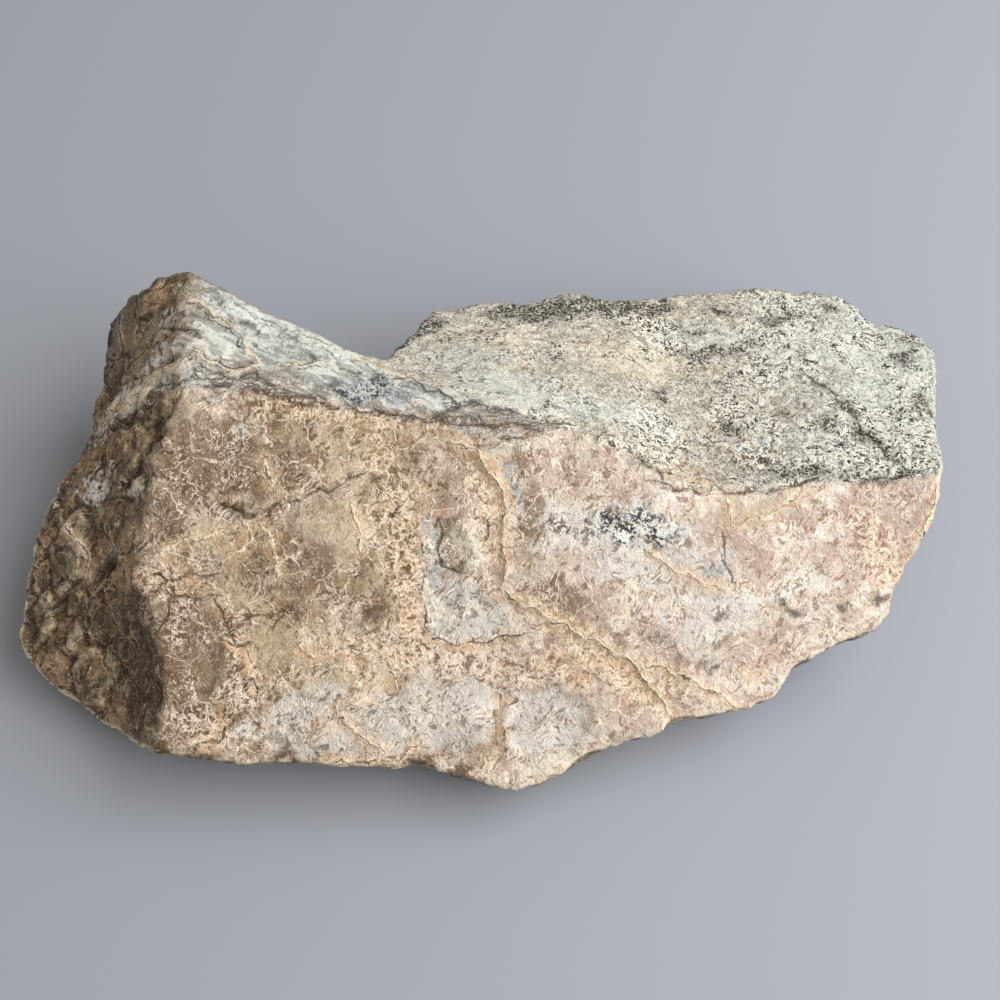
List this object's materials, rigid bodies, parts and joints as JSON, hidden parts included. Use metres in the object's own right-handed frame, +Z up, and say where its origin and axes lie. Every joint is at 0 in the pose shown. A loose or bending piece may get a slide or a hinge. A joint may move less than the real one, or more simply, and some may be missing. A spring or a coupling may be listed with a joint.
{
  "type": "rough jadeite stone",
  "caption": "Rough slab of jadeite, wedge shaped, with a weathered brown face, a pale green back face and a notched outline.",
  "frame": {"origin": "on the ground, under the middle of the stone's bounding box", "axes": "+X along the length of the stone towards its pointed end, +Y towards the pale green back face, +Z up"},
  "size_m": [0.184, 0.105, 0.051],
  "materials": {
    "jadeite_rind": "weathered tan rind with cream veins, pale green where the rind is gone, matte to slightly waxy"
  },
  "bodies": {
    "root": {"jadeite_stone": "jadeite_rind"}
  },
  "joints": []
}
